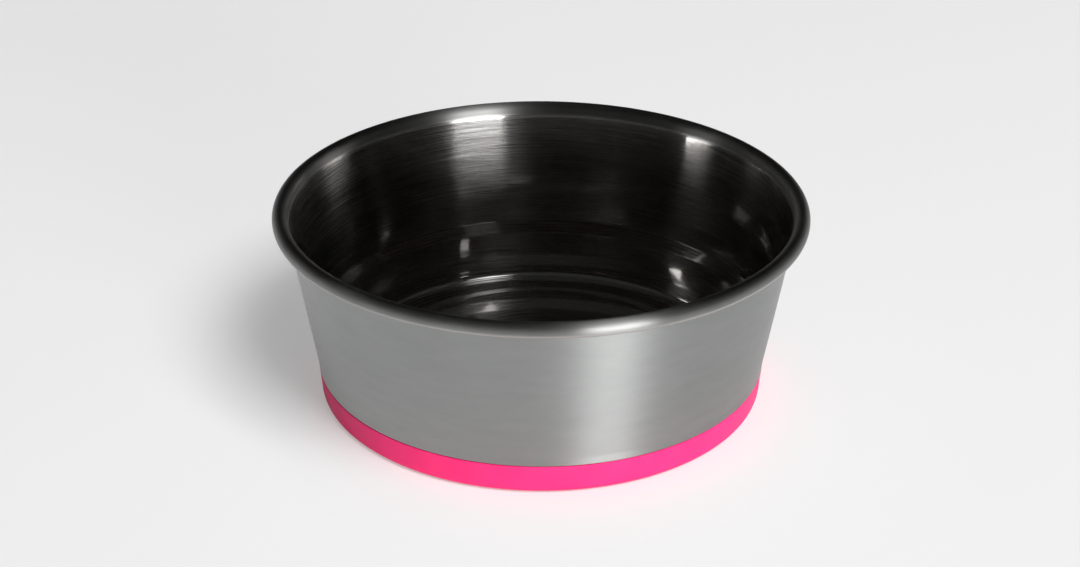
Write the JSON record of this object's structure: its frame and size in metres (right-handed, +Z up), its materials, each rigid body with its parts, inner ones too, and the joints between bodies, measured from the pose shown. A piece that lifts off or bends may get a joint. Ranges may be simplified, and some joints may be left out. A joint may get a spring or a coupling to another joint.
{
  "type": "dog bowl",
  "caption": "Round flared steel pet bowl with a mirror-polished stepped inside, a brushed outer sleeve, a rolled rim and a flush pink rubber base ring.",
  "frame": {"origin": "on the table, at the middle of the foot", "axes": "+Z up along the bowl's axis of revolution; X and Y are any two directions across the bowl"},
  "size_m": [0.2, 0.2, 0.0754],
  "materials": {
    "polished_steel": "mirror polished inside and on the rolled rim, with faint rings from polishing",
    "brushed_steel": "satin, brushed round the wall",
    "pink_rubber": "matt moulded silicone rubber",
    "cured_adhesive": "plain cured adhesive, hidden"
  },
  "bodies": {
    "root": {"inner_bowl": "polished_steel", "outer_sleeve": "brushed_steel", "base_ring": "pink_rubber", "adhesive_film": "cured_adhesive"}
  },
  "joints": []
}
